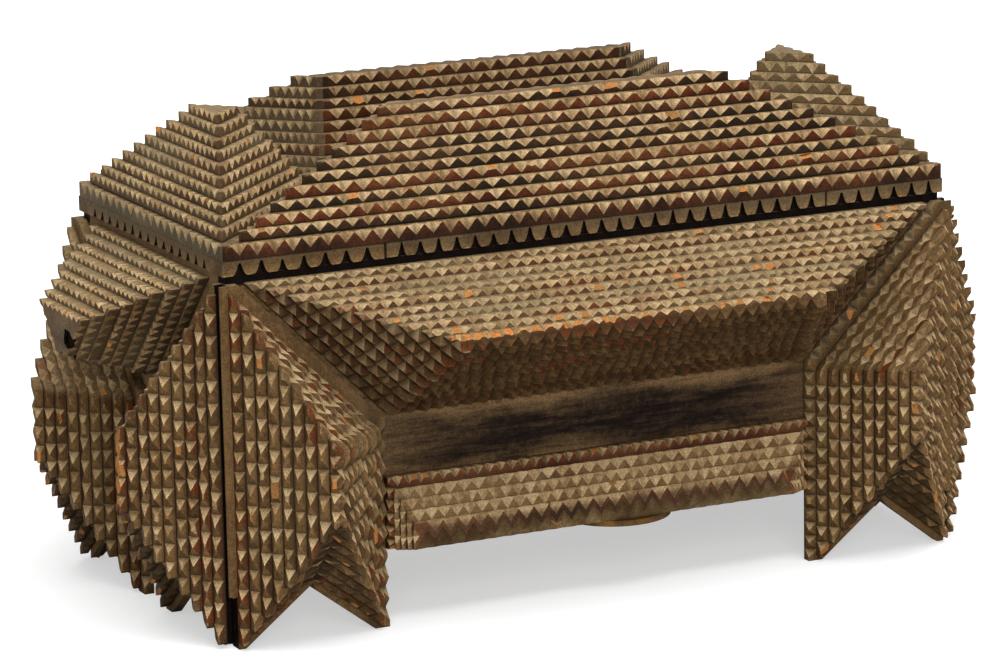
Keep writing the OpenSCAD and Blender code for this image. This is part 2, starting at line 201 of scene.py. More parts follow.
def make_grain_group():
    """Wood grain that runs along X of the given vector."""
    group, given, result = shader_group(
        "wood_grain",
        [("Vector", VECTOR), ("Fineness", NUMBER)],
        [("Streaks", NUMBER), ("Pores", NUMBER)],
    )
    sizes = {0: given["Vector"], 1: GRAIN_STRETCH}
    stretched = put(group, "ShaderNodeVectorMath", sizes, operation="MULTIPLY").outputs[0]
    wide = noise(group, stretched, given["Fineness"], 4.0, 0.6)
    finer = maths(group, "MULTIPLY", given["Fineness"], 3.7)
    narrow = noise(group, stretched, finer, 3.0, 0.65)
    streaks = maths(group, "MULTIPLY_ADD", narrow, 0.45, maths(group, "MULTIPLY", wide, 0.55))
    group.links.new(streaks, result["Streaks"])
    group.links.new(spread(group, narrow, 0.54, 0.7), result["Pores"])
    return group


def make_patch_group():
    """Blotches, specks and grit of an old surface."""
    group, given, result = shader_group(
        "age_patches",
        [("Vector", VECTOR), ("Size", NUMBER)],
        [("Blotches", NUMBER), ("Specks", NUMBER), ("Grit", NUMBER)],
    )
    scale = maths(group, "DIVIDE", 1.0, given["Size"])
    blotches = noise(group, given["Vector"], scale, 4.0, 0.62)
    specks = noise(group, given["Vector"], maths(group, "MULTIPLY", scale, 21.0), 2.0, 0.6)
    grit = noise(group, given["Vector"], maths(group, "MULTIPLY", scale, 80.0), 2.0, 0.7)
    group.links.new(spread(group, blotches, 0.36, 0.66), result["Blotches"])
    group.links.new(spread(group, specks, 0.35, 0.72), result["Specks"])
    group.links.new(spread(group, grit, 0.32, 0.62), result["Grit"])
    return group


# Distances from an arris or a seam between which dirt and painted shade, or wear, come or go

TEETH_REACH = (8 * MM, 14 * MM)
VALLEY_DEPTH = (1.2 * MM, 4.0 * MM)
RUBBED_WIDTH = (0.15 * MM, 0.9 * MM)
SEAM_WIDTH = (0.12 * MM, 0.62 * MM)


def make_dust_group():
    """Dust on what faces up, painted shade on what faces down, dirt and painted shade far from an arris,
    painted shade along a seam, bare wood on a rubbed arris.
    """
    group, given, result = shader_group(
        "dust_and_dirt",
        [("Normal", VECTOR), ("Arris Gap", NUMBER), ("Seam Gap", NUMBER), ("Specks", NUMBER)],
        [(name, NUMBER) for name in ("Dust", "Lit Side", "Shaded", "Dirt And Shade", "Rubbed", "Seam")],
    )
    height = put(group, "ShaderNodeSeparateXYZ", {0: given["Normal"]}).outputs["Z"]
    lying = spread(group, height, 0.15, 0.85)
    patchy = spread(group, given["Specks"], 0.0, 0.75, 0.4, 1.0)
    group.links.new(maths(group, "MULTIPLY", lying, patchy), result["Dust"])
    # Share of a knife cut painted in lit colours, by how far it faces up; the rest is painted shade
    group.links.new(spread(group, height, -0.6, 0.4), result["Lit Side"])
    # Flats that face down among the teeth get painted shade
    among_teeth = spread(group, given["Arris Gap"], *TEETH_REACH, 1.0, 0.0)
    facing_down = spread(group, height, -0.6, -0.1, 1.0, 0.0)
    group.links.new(maths(group, "MULTIPLY", facing_down, among_teeth), result["Shaded"])
    # Deep among the teeth, far from an arris: dirt and painted shade
    deep = spread(group, given["Arris Gap"], *VALLEY_DEPTH)
    group.links.new(maths(group, "MULTIPLY", deep, among_teeth), result["Dirt And Shade"])
    near = spread(group, given["Arris Gap"], *RUBBED_WIDTH, 1.0, 0.0)
    group.links.new(maths(group, "MULTIPLY", near, given["Specks"]), result["Rubbed"])
    group.links.new(spread(group, given["Seam Gap"], *SEAM_WIDTH, 1.0, 0.0), result["Seam"])
    return group


GRAIN = make_grain_group()
PATCHES = make_patch_group()
DUSTING = make_dust_group()


def grouped(tree, group, inputs):
    node = tree.nodes.new("ShaderNodeGroup")
    node.node_tree = group
    for name, value in inputs.items():
        feed(tree, node.inputs[name], value)
    return node.outputs


def new_material(name):
    material = bpy.data.materials.new(name)
    material.use_nodes = True
    tree = material.node_tree
    shader = tree.nodes["Principled BSDF"]
    return material, tree, shader


GRAIN_TURN = {"X": (0, 0, 0), "Y": (0, 0, math.radians(90)), "Z": (0, math.radians(90), 0)}


def grain_vector(tree, axis):
    """Object coordinates turned so that X runs along the grain."""
    place = put(tree, "ShaderNodeTexCoord").outputs["Object"]
    return put(tree, "ShaderNodeMapping", {"Vector": place, "Rotation": GRAIN_TURN[axis]}).outputs["Vector"]


def attribute(tree, name):
    return put(tree, "ShaderNodeAttribute", attribute_name=name).outputs["Fac"]


# What made a face: the old surface, a knife, a break that shows fresh wood, an open joint or groove painted
# near black as shade, or a bare back

OLD_FACE = 0.0
KNIFE_CUT = 1.0
FRESH_BREAK = 2.0
SHADED_GAP = 3.0
BARE_BACK = 4.0


OLD_WOOD_SHINE = 0.06
LAYER_GRAIN = 520.0
LAYER_PATCH = 50 * MM
BOARD_PATCH = 60 * MM


def add_gritty_colour(tree, shader, colour, grit):
    """The colour of old wood, darker in its grit, and its slight shine."""
    gritty = blend(tree, grit, GRIT_DARK, PURE_WHITE)
    tree.links.new(blend(tree, 1.0, colour, gritty, "MULTIPLY"), shader.inputs["Base Color"])
    shader.inputs["Specular IOR Level"].default_value = OLD_WOOD_SHINE


def add_bump(tree, shader, height, strength, distance):
    bump = put(tree, "ShaderNodeBump", {"Height": height, "Strength": strength, "Distance": distance})
    tree.links.new(bump.outputs["Normal"], shader.inputs["Normal"])


def is_kind(tree, kind, wanted):
    apart = maths(tree, "ABSOLUTE", maths(tree, "SUBTRACT", kind, wanted))
    return maths(tree, "SUBTRACT", 1.0, apart, clamp=True)


def faded(tree, value, share):
    return maths(tree, "MULTIPLY", value, share)


def make_notched_wood(axis):
    """Old varnished layers: dark flats, pale dusty knife cuts with painted shade where they face down,
    orange fresh breaks.
    """
    material, tree, shader = new_material("notched_wood_" + axis.lower())
    coords = put(tree, "ShaderNodeTexCoord").outputs
    along = grain_vector(tree, axis)
    grain = grouped(tree, GRAIN, {"Vector": along, "Fineness": LAYER_GRAIN})
    patches = grouped(tree, PATCHES, {"Vector": coords["Object"], "Size": LAYER_PATCH})
    kind = attribute(tree, "cut_kind")
    tone = attribute(tree, "tone")
    layers = grouped(tree, DUSTING, {
        "Normal": coords["Normal"],
        "Arris Gap": attribute(tree, "arris_gap"),
        "Seam Gap": attribute(tree, "seam_gap"),
        "Specks": patches["Specks"],
    })

    mottled = maths(tree, "MULTIPLY_ADD", patches["Specks"], 0.2, maths(tree, "SUBTRACT", tone, 0.26))
    mottled = maths(tree, "MULTIPLY_ADD", patches["Blotches"], 0.32, mottled)
    varnish = ramp(tree, mottled, [
        (0.0, VARNISH_BLACK), (0.3, VARNISH_RED), (0.5, VARNISH_RUST),
        (0.65, VARNISH_BROWN), (1.0, WORN_BROWN),
    ])
    varnish = blend(tree, faded(tree, patches["Blotches"], 0.15), varnish, WORN_BROWN)
    varnish = blend(tree, faded(tree, grain["Pores"], 0.5), varnish, DEEP_DIRT_AND_SHADE)
    varnish = blend(tree, faded(tree, layers["Rubbed"], 0.6), varnish, CUT_MID)
    flat = blend(tree, faded(tree, layers["Dust"], 0.72), varnish, DUST)
    # Deep among the teeth: dirt and painted shade; flats that face down: painted shade
    flat = blend(tree, faded(tree, layers["Dirt And Shade"], 0.5), flat, DEEP_DIRT_AND_SHADE)
    flat = blend(tree, faded(tree, layers["Shaded"], 0.6), flat, DEEP_DIRT_AND_SHADE)
    # A thin line of painted shade along each seam between layers
    flat = blend(tree, faded(tree, layers["Seam"], 0.85), flat, DEEP_DIRT_AND_SHADE)

    shade = maths(tree, "MULTIPLY_ADD", patches["Specks"], 0.4, faded(tree, tone, 0.6))
    # Knife cuts: lit colours where they face up, painted shade where they face down
    lit = ramp(tree, shade, [(0.0, CUT_DARK), (0.5, CUT_MID), (1.0, CUT_PALE)])
    shaded_cut = blend(tree, shade, SHADED_CUT_DARK, SHADED_CUT_PALE)
    cut = blend(tree, layers["Lit Side"], shaded_cut, lit)
    # Deep in the valleys the cuts get dirt and painted shade
    cut = blend(tree, faded(tree, layers["Dirt And Shade"], 0.7), cut, VALLEY_DIRT_AND_SHADE)
    cut = blend(tree, faded(tree, grain["Pores"], 0.3), cut, VALLEY_DIRT_AND_SHADE)

    bare = blend(tree, spread(tree, grain["Streaks"], 0.36, 0.64), VARNISH_BROWN, CUT_DARK)
    bare = blend(tree, faded(tree, patches["Blotches"], 0.5), bare, WORN_BROWN)
    fresh = blend(tree, grain["Streaks"], FRESH_ORANGE, FRESH_BROWN)
    fresh = blend(tree, faded(tree, tone, 0.75), fresh, WORN_BROWN)

    is_cut = is_kind(tree, kind, KNIFE_CUT)
    is_fresh = is_kind(tree, kind, FRESH_BREAK)
    colour = blend(tree, is_cut, flat, cut)
    uneven = maths(tree, "MULTIPLY_ADD", patches["Blotches"], 0.5, 0.5)
    colour = blend(tree, maths(tree, "MULTIPLY", attribute(tree, "grey_film"), uneven), colour, GREY_FILM)
    # Grime on each row, and painted shade on the rows that face down
    colour = blend(tree, maths(tree, "MULTIPLY", attribute(tree, "grime"), uneven), colour, GRIME_AND_SHADE)
    colour = blend(tree, is_fresh, colour, fresh)
    # Faces inside a gap or groove: painted shade, near black
    colour = blend(tree, is_kind(tree, kind, SHADED_GAP), colour, DEEP_DIRT_AND_SHADE)
    colour = blend(tree, is_kind(tree, kind, BARE_BACK), colour, bare)
    add_gritty_colour(tree, shader, colour, patches["Grit"])

    dull = maths(tree, "MAXIMUM", maths(tree, "MAXIMUM", is_cut, is_fresh), layers["Dust"])
    speckled = maths(tree, "MULTIPLY_ADD", patches["Specks"], 0.22, 0.42)
    tree.links.new(maths(tree, "MULTIPLY_ADD", dull, 0.3, speckled), shader.inputs["Roughness"])

    wavy = maths(tree, "MULTIPLY_ADD", grain["Streaks"], 0.6, faded(tree, patches["Specks"], 0.3))
    height = maths(tree, "MULTIPLY_ADD", patches["Grit"], 0.25, wavy)
    add_bump(tree, shader, height, 0.7, 0.4 * MM)
    return material


# The dark band along the middle of a wall, dark wood with a painted shadow, and the height of the joint
# under the lid, with painted shade above it

BAND_Z = 73 * MM
BAND_WAVE = 5 * MM
BAND_HEIGHT = (2 * MM, 12 * MM)
BAND_LENGTH = (50 * MM, 104 * MM)
LID_JOINT_Z = 148.5 * MM
LID_JOINT_HEIGHT = 1.5 * MM
FAR_ABOVE = 1.0


def make_board_wood(name, axis, joint_z, dark, pale, fineness, dusty, band):
    """Plain boards with open grain, dust beside a dark middle band that is partly painted shadow, and
    painted shade above the height joint_z.
    """
    material, tree, shader = new_material(name)
    coords = put(tree, "ShaderNodeTexCoord").outputs
    along = grain_vector(tree, axis)
    grain = grouped(tree, GRAIN, {"Vector": along, "Fineness": fineness})
    patches = grouped(tree, PATCHES, {"Vector": coords["Object"], "Size": BOARD_PATCH})
    streaks = spread(tree, grain["Streaks"], 0.36, 0.64)
    colour = blend(tree, streaks, dark, pale)
    colour = blend(tree, faded(tree, patches["Blotches"], 0.6), colour, dark)
    colour = blend(tree, faded(tree, grain["Pores"], 0.6), colour, DEEP_DIRT_AND_SHADE)
    upward = put(tree, "ShaderNodeSeparateXYZ", {0: coords["Normal"]}).outputs["Z"]
    lying = spread(tree, upward, 0.2, 0.9, 0.2 * dusty, 0.6 * dusty)
    colour = blend(tree, maths(tree, "MULTIPLY", lying, patches["Specks"]), colour, DUST)
    place = put(tree, "ShaderNodeSeparateXYZ", {0: coords["Object"]}).outputs
    from_band = maths(tree, "ABSOLUTE", maths(tree, "SUBTRACT", place["Z"], BAND_Z))
    beside = maths(tree, "MULTIPLY_ADD", patches["Blotches"], -BAND_WAVE, from_band)
    aside = spread(tree, maths(tree, "ABSOLUTE", place["X"]), *BAND_LENGTH)
    edges = maths(tree, "MAXIMUM", spread(tree, beside, *BAND_HEIGHT), faded(tree, aside, 0.7))
    settled = maths(tree, "MULTIPLY", edges, spread(tree, grain["Streaks"], 0.3, 0.6, 0.4, 1.0))
    colour = blend(tree, faded(tree, settled, band), colour, WALL_DUST)
    # In the middle of the band the wood is darkened further as a painted shadow of the stack above
    within = maths(tree, "SUBTRACT", 1.0, edges, clamp=True)
    band_shade = maths(tree, "MULTIPLY", within, spread(tree, grain["Streaks"], 0.4, 0.62, 1.0, 0.5))
    colour = blend(tree, faded(tree, band_shade, 1.2 * band), colour, WALL_DARK)
    # Standing faces just under the lid joint: painted shade, near black
    joint = spread(tree, place["Z"], joint_z - LID_JOINT_HEIGHT, joint_z)
    standing = spread(tree, upward, 0.2, 0.9, 1.0, 0.0)
    colour = blend(tree, maths(tree, "MULTIPLY", joint, standing), colour, DEEP_DIRT_AND_SHADE)
    add_gritty_colour(tree, shader, colour, patches["Grit"])
    rough = maths(tree, "MULTIPLY_ADD", patches["Specks"], 0.25, 0.55)
    tree.links.new(rough, shader.inputs["Roughness"])
    relief = maths(tree, "MULTIPLY_ADD", grain["Streaks"], 0.7, faded(tree, patches["Grit"], 0.3))
    add_bump(tree, shader, relief, 0.8, 0.5 * MM)
    return material


def make_old_brass(name, bright, dark, size):
    """Tarnished brass, with dull blotches of the given size and dirty specks."""
    material, tree, shader = new_material(name)
    coords = put(tree, "ShaderNodeTexCoord").outputs
    patches = grouped(tree, PATCHES, {"Vector": coords["Object"], "Size": size})
    colour = blend(tree, patches["Blotches"], bright, dark)
    colour = blend(tree, maths(tree, "MULTIPLY", patches["Specks"], 0.45), colour, DEEP_DIRT_AND_SHADE)
    tree.links.new(colour, shader.inputs["Base Color"])
    tree.links.new(maths(tree, "MULTIPLY_ADD", patches["Blotches"], -0.35, 0.95), shader.inputs["Metallic"])
    tree.links.new(maths(tree, "MULTIPLY_ADD", patches["Specks"], 0.3, 0.34), shader.inputs["Roughness"])
    add_bump(tree, shader, patches["Specks"], 0.3, 0.2 * MM)
    return material


NOTCHED = {axis: make_notched_wood(axis) for axis in "XYZ"}
WALL_LOOK = {"dark": WALL_DARK, "pale": WALL_BROWN, "fineness": 260.0, "dusty": 1.0, "band": 0.75}
DRAWER_LOOK = {"dark": DRAWER_BROWN, "pale": DRAWER_PALE, "fineness": 360.0, "dusty": 0.5, "band": 0.0}
WALL_X = make_board_wood("wall_wood_x", "X", LID_JOINT_Z, **WALL_LOOK)
WALL_Y = make_board_wood("wall_wood_y", "Y", FAR_ABOVE, **WALL_LOOK)
DRAWER_X = make_board_wood("drawer_wood_x", "X", FAR_ABOVE, **DRAWER_LOOK)
DRAWER_Y = make_board_wood("drawer_wood_y", "Y", FAR_ABOVE, **DRAWER_LOOK)
HINGE_BRASS = make_old_brass("hinge_brass", BRASS, BRASS_DARK, 12 * MM)
TAB_BRASS = make_old_brass("tab_brass", TAB_GOLD, TAB_DARK, 10 * MM)


# Meshes with values on their faces

def set_values(mesh, name, values):
    old = mesh.attributes.get(name)
    if old:
        mesh.attributes.remove(old)
    mesh.attributes.new(name, "FLOAT", "FACE").data.foreach_set("value", values)


def add_to_scene(thing):
    bpy.context.scene.collection.objects.link(thing)


# Knife cuts and breaks: cutter shapes in units of the notch's own sizes

def cutter_object(name, points, faces, kind):
    mesh = bpy.data.meshes.new(name)
    mesh.from_pydata(points, [], faces)
    shape = bmesh.new()
    shape.from_mesh(mesh)
    bmesh.ops.recalc_face_normals(shape, faces=shape.faces)
    shape.to_mesh(mesh)
    shape.free()
    set_values(mesh, "cut_kind", [kind] * len(mesh.polygons))
    return bpy.data.objects.new(name, mesh)


OVERCUT = 1.1


def make_notch_cutter():
    """A wedge with its valley from one unit in on the upper face to one unit down on the side face."""
    middle = Vector((0, -0.5, -0.5))
    corners = [Vector((-0.5, 0, 0)), Vector((0.5, 0, 0)), Vector((0, -1, 0)), Vector((0, 0, -1))]
    points = [middle + (corner - middle) * OVERCUT for corner in corners]
    faces = [(0, 1, 2), (0, 3, 1), (0, 2, 3), (1, 3, 2)]
    return cutter_object("notch_cutter", points, faces, KNIFE_CUT)


def make_chip_cutter(name, reach, kind):
    """A three-sided bar over the tooth beside a notch, that takes its top off with uneven ends."""
    points = [
        (0.12, 0.2, 0.2), (0.2, -reach, 0.2), (0.15, 0.2, -0.8 * reach),
        (0.85, 0.2, 0.2), (0.9, -0.8 * reach, 0.2), (0.78, 0.2, -reach),
    ]
    faces = [(0, 1, 2), (3, 5, 4), (0, 3, 4, 1), (1, 4, 5, 2), (2, 5, 3, 0)]
    return cutter_object(name, points, faces, kind)


def make_rim_cutter():
    """A groove painted near black as shade, wide at its open end, so that blocks with round shoulders stay
    between two.
    """
    half = [(0.4, 0.1), (0.4, 0.0), (0.29, -0.12), (0.21, -0.34), (0.13, -0.66), (0.06, -0.97)]
    profile = half + [(-x, z) for x, z in reversed(half)]
    front = [(x, 0.12, z) for x, z in profile]
    back = [(0.35 * x, -0.4, z) for x, z in profile]
    count = len(profile)
    sides = [(i, (i + 1) % count, count + (i + 1) % count, count + i) for i in range(count)]
    faces = [tuple(range(count)), tuple(reversed(range(count, 2 * count)))] + sides
    return cutter_object("rim_cutter", front + back, faces, SHADED_GAP)


def break_block(name, low, high, kind=FRESH_BREAK, turn=(0, 0, 0), roughness=0.06):
    """A rough block, given by its lowest and highest corner in mm, that takes a bite out of a piece."""
    luck = random.Random(name)
    low = Vector(low) * MM
    high = Vector(high) * MM
    shape = bmesh.new()
    bmesh.ops.create_cube(shape, size=1.0)
    bmesh.ops.subdivide_edges(shape, edges=shape.edges, cuts=3, use_grid_fill=True)
    bmesh.ops.triangulate(shape, faces=shape.faces)
    for vert in shape.verts:
        for part in range(3):
            vert.co[part] += luck.uniform(-roughness, roughness)
    size = high - low
    turned = Euler([math.radians(angle) for angle in turn]).to_matrix().to_4x4()
    shape.transform(Matrix.Translation((low + high) / 2) @ turned @ Matrix.Diagonal((*size, 1)))
    mesh = bpy.data.meshes.new(name)
    shape.to_mesh(mesh)
    shape.free()
    set_values(mesh, "cut_kind", [kind] * len(mesh.polygons))
    return bpy.data.objects.new(name, mesh)


ARRIS_NUMBERS = (
    "pitch", "margin", "width", "tread_cut", "riser_cut", "fresh_chance", "worn_chance",
    "grey_film", "grime", "seam",
)
ARRIS_VECTORS = ("out", "up")


# Tilt of a chip in radians and its size as a share of the notch beside it

CHIP_NOD = 0.25
CHIP_SWAY = 0.12
CHIP_SIZE = (0.5, 1.3)


def make_notch_tree():
    """Sets wedges along the loose arris edges of a mesh and cuts them out of its solid."""
    tree = bpy.data.node_groups.new("notched_layers", "GeometryNodeTree")
    face = tree.interface
    face.new_socket("Geometry", in_out="INPUT", socket_type="NodeSocketGeometry")
    for name in ("Notch Cutter", "Fresh Chip Cutter", "Worn Chip Cutter"):
        face.new_socket(name, in_out="INPUT", socket_type="NodeSocketObject")
    face.new_socket("Breaks", in_out="INPUT", socket_type="NodeSocketCollection")
    for name in ("Least Width", "Most Width", "Unevenness", "Sway"):
        face.new_socket(name, in_out="INPUT", socket_type="NodeSocketFloat")
    face.new_socket("Seed", in_out="INPUT", socket_type="NodeSocketInt")
    face.new_socket("Wood", in_out="INPUT", socket_type="NodeSocketMaterial")
    face.new_socket("Geometry", in_out="OUTPUT", socket_type="NodeSocketGeometry")
    given = tree.nodes.new("NodeGroupInput").outputs
    result = tree.nodes.new("NodeGroupOutput").inputs

    def stored(name, data_type="FLOAT"):
        node = put(tree, "GeometryNodeInputNamedAttribute", {"Name": name}, data_type=data_type)
        return node.outputs["Attribute"]

    def store(geometry, name, value, domain, data_type="FLOAT"):
        inputs = {"Geometry": geometry, "Name": name, "Value": value}
        node = put(tree, "GeometryNodeStoreNamedAttribute", inputs, data_type=data_type, domain=domain)
        return node.outputs[0]

    def chance_node(low, high, step):
        seed = maths(tree, "ADD", given["Seed"], step)
        return put(tree, "FunctionNodeRandomValue", {2: low, 3: high, "Seed": seed}, data_type="FLOAT")

    def chance(low, high, step):
        return chance_node(low, high, step).outputs[1]

    def times(attribute_name, factor):
        return maths(tree, "MULTIPLY", stored(attribute_name), factor)

    def parted(geometry, attribute_name):
        chosen = maths(tree, "GREATER_THAN", stored(attribute_name), 0.0)
        node = put(tree, "GeometryNodeSeparateGeometry", {"Geometry": geometry, "Selection": chosen})
        return node.outputs["Selection"], node.outputs["Inverted"]

    def mesh_of(socket_name):
        return put(tree, "GeometryNodeObjectInfo", {"Object": given[socket_name]}).outputs["Geometry"]

    arrises, rest = parted(given["Geometry"], "pitch")
    seams, solid = parted(rest, "seam")
    lines = put(tree, "GeometryNodeMeshToCurve", {"Mesh": arrises}).outputs[0]

    pitch = stored("pitch")
    length = put(tree, "GeometryNodeSplineLength").outputs["Length"]
    margin = times("margin", pitch)
    free = maths(tree, "SUBTRACT", length, maths(tree, "MULTIPLY", margin, 2.0))
    count = maths(tree, "MAXIMUM", maths(tree, "ROUND", maths(tree, "DIVIDE", free, pitch)), 1.0)
    first = maths(tree, "MULTIPLY_ADD", maths(tree, "DIVIDE", free, count), 0.5, margin)
    kept = tree.nodes.new("GeometryNodeCaptureAttribute")
    kept.domain = "CURVE"
    kept.capture_items.new("FLOAT", "Count")
    tree.links.new(lines, kept.inputs["Geometry"])
    tree.links.new(count, kept.inputs["Count"])
    trimmed = put(tree, "GeometryNodeTrimCurve", {
        "Curve": kept.outputs["Geometry"],
        "Start_001": first,
        "End_001": maths(tree, "SUBTRACT", length, first),
    }, mode="LENGTH")
    places = put(tree, "GeometryNodeResampleCurve", {
        "Curve": trimmed.outputs[0], "Count": kept.outputs["Count"],
    }, mode="COUNT").outputs[0]

    turn = put(tree, "FunctionNodeAxesToRotation", {
        "Primary Axis": stored("up", "FLOAT_VECTOR"), "Secondary Axis": stored("out", "FLOAT_VECTOR"),
    }, primary_axis="Z", secondary_axis="Y").outputs[0]
    least = maths(tree, "SUBTRACT", 1.0, given["Unevenness"])
    most = maths(tree, "MULTIPLY_ADD", given["Unevenness"], 0.35, 1.0)
    size = put(tree, "ShaderNodeCombineXYZ", {
        0: times("width", chance(given["Least Width"], given["Most Width"], 1)),
        1: times("tread_cut", chance(least, most, 2)),
        2: times("riser_cut", chance(least, most, 3)),
    }).outputs[0]
    back_sway = maths(tree, "MULTIPLY", given["Sway"], -1.0)
    sway = put(tree, "ShaderNodeCombineXYZ", {
        0: 0.0, 1: chance(back_sway, given["Sway"], 13), 2: chance(back_sway, given["Sway"], 14),
    }).outputs[0]

    def turned_by(angles):
        inputs = {"Rotation": turn, "Rotate By": angles}
        return put(tree, "FunctionNodeRotateRotation", inputs, rotation_space="LOCAL").outputs[0]

    notches = put(tree, "GeometryNodeInstanceOnPoints", {
        "Points": places, "Instance": mesh_of("Notch Cutter"), "Rotation": turned_by(sway), "Scale": size,
    }).outputs[0]

    def chips(cutter_name, chance_name, step):
        tilt = put(tree, "ShaderNodeCombineXYZ", {
            0: chance(-CHIP_NOD, CHIP_NOD, step),
            1: chance(-CHIP_SWAY, CHIP_SWAY, step + 1),
            2: chance(-CHIP_SWAY, CHIP_SWAY, step + 2),
        }).outputs[0]
        chip_size = put(tree, "ShaderNodeCombineXYZ", {
            0: pitch,
            1: times("tread_cut", chance(*CHIP_SIZE, step + 3)),
            2: times("riser_cut", chance(*CHIP_SIZE, step + 4)),
        }).outputs[0]
        return put(tree, "GeometryNodeInstanceOnPoints", {
            "Points": places,
            "Selection": maths(tree, "LESS_THAN", chance(0.0, 1.0, step + 5), stored(chance_name)),
            "Instance": mesh_of(cutter_name),
            "Rotation": turned_by(tilt),
            "Scale": chip_size,
        }).outputs[0]

    fresh_chips = chips("Fresh Chip Cutter", "fresh_chance", 20)
    worn_chips = chips("Worn Chip Cutter", "worn_chance", 30)
    breaks = put(tree, "GeometryNodeCollectionInfo", {
        "Collection": given["Breaks"], "Separate Children": True,
    }).outputs[0]

    cut = put(tree, "GeometryNodeMeshBoolean", {"Mesh 1": solid}, operation="DIFFERENCE", solver="MANIFOLD")
    for tools in (notches, fresh_chips, worn_chips, breaks):
        tree.links.new(tools, cut.inputs["Mesh 2"])

    spots = put(tree, "GeometryNodeCurveToPoints", {"Curve": places}, mode="EVALUATED").outputs["Points"]
    nearest = put(tree, "GeometryNodeSampleNearest", {"Geometry": spots}, domain="POINT").outputs["Index"]
    own_tone = chance_node(0.0, 1.0, 11)
    tree.links.new(nearest, own_tone.inputs["ID"])
    made = store(cut.outputs[0], "tone", own_tone.outputs[1], "FACE")
    for name in ("grey_film", "grime"):
        of_row = put(tree, "GeometryNodeSampleIndex", {
            "Geometry": spots, "Value": stored(name), "Index": nearest,
        }, data_type="FLOAT", domain="POINT").outputs[0]
        made = store(made, name, of_row, "FACE")
    for name, target in (("arris_gap", arrises), ("seam_gap", seams)):
        near = put(tree, "GeometryNodeProximity", {"Target": target}, target_element="EDGES")
        made = store(made, name, near.outputs["Distance"], "POINT")
    plain = put(tree, "GeometryNodeRealizeInstances", {0: made}).outputs[0]
    finished = put(tree, "GeometryNodeSetMaterial", {"Geometry": plain, "Material": given["Wood"]})
    tree.links.new(finished.outputs[0], result["Geometry"])
    return tree


NOTCH_TREE = make_notch_tree()
NOTCH_CUTTER = make_notch_cutter()
FRESH_CHIP_CUTTER = make_chip_cutter("fresh_chip_cutter", 0.72, FRESH_BREAK)
WORN_CHIP_CUTTER = make_chip_cutter("worn_chip_cutter", 0.45, KNIFE_CUT)
RIM_CUTTER = make_rim_cutter()
INPUTS = {item.name: item.identifier for item in NOTCH_TREE.interface.items_tree if item.in_out == "INPUT"}


# Layers of a stack, read from its CAD solid

# A normal lies along a direction from the share ALONG, and across it below the share ACROSS
ALONG = 0.9
ACROSS = 0.1
SLOPING = 0.5

# Angles between two faces at an edge, in radians
CORNER_BEND = 0.5
SLIGHT_BEND = 0.1

LAYER_SWAY = 0.35 * MM
LAYER_TURN = math.radians(0.12)
THICKNESS_SWAY = 0.09
LAYER_WIDTHS = (0.86, 1.16)
LAYER_DEPTHS = (0.9, 1.05)
FILM_SPREAD = (0.5, 1.5)
LEAST_ARRIS = 0.8


def solid_of(node):
    shape = bmesh.new()
    shape.from_mesh(NODES[node].data)
    bmesh.ops.remove_doubles(shape, verts=shape.verts, dist=1e-6)
    bmesh.ops.dissolve_limit(shape, angle_limit=0.001, verts=shape.verts, edges=shape.edges)
    shape.normal_update()
    return shape


def blunt_corners(shape, axis, reach):
    """Takes the sharp outer corners off every layer."""
    corners = []
    for edge in shape.edges:
        upright = all(abs(face.normal.dot(axis)) < ACROSS for face in edge.link_faces)
        if upright and edge.calc_face_angle_signed() > CORNER_BEND:
            corners.append(edge)
    bmesh.ops.bevel(
        shape, geom=corners, offset=reach, segments=2, profile=0.5, affect="EDGES", clamp_overlap=True,
    )
    shape.normal_update()


def sway_layers(shape, axis, luck, slides):
    """Hand-made layers: each a little thicker or thinner and, where it slides, a little out of line."""
    levels = sorted({round(vert.co.dot(axis), 5) for vert in shape.verts})
    rises = [0.0]
    for below, above in zip(levels, levels[1:]):
        rises.append((above - below) * luck.uniform(-THICKNESS_SWAY, THICKNESS_SWAY))
    rises[-1] = -abs(rises[-1])
    shifts = []
    for _ in levels:
        free = Vector([luck.uniform(-LAYER_SWAY, LAYER_SWAY) for _ in range(3)])
        shifts.append((free - axis * free.dot(axis), luck.uniform(-LAYER_TURN, LAYER_TURN)))
    middle = sum((vert.co for vert in shape.verts), Vector()) / len(shape.verts)
    moves = {}
    for vert in shape.verts:
        level = levels.index(round(vert.co.dot(axis), 5))
        tops = [levels.index(round(edge.other_vert(vert).co.dot(axis), 5)) for edge in vert.link_edges]
        layer = max(tops + [level])
        moves[vert] = axis * rises[level]
        if slides and layer > 1:
            shift, angle = shifts[layer]
            turned = Matrix.Rotation(angle, 3, axis) @ (vert.co - middle)
            moves[vert] = moves[vert] + shift + turned - (vert.co - middle)
    for vert, move in moves.items():
        vert.co += move
    shape.normal_update()


def arris_rows(shape, axis):
    """Outer arrises of the layers, in rows that share a side, each row in order along the axis."""
    rows = {}
    for edge in shape.edges:
        tread, riser = edge.link_faces
        if tread.normal.dot(axis) < ALONG:
            tread, riser = riser, tread
        if tread.normal.dot(axis) < ALONG or abs(riser.normal.dot(axis)) > ACROSS:
            continue
        if edge.calc_face_angle_signed() < SLIGHT_BEND:
            continue
        ends = (edge.verts[0].co.copy(), edge.verts[1].co.copy())
        side = tuple(round(part, 1) for part in riser.normal)
        level = (ends[0] + ends[1]).dot(axis) / 2
        rows.setdefault(side, []).append((level, ends, riser.normal.copy()))
    for row in rows.values():
        row.sort(key=lambda arris: arris[0])
    return list(rows.values())


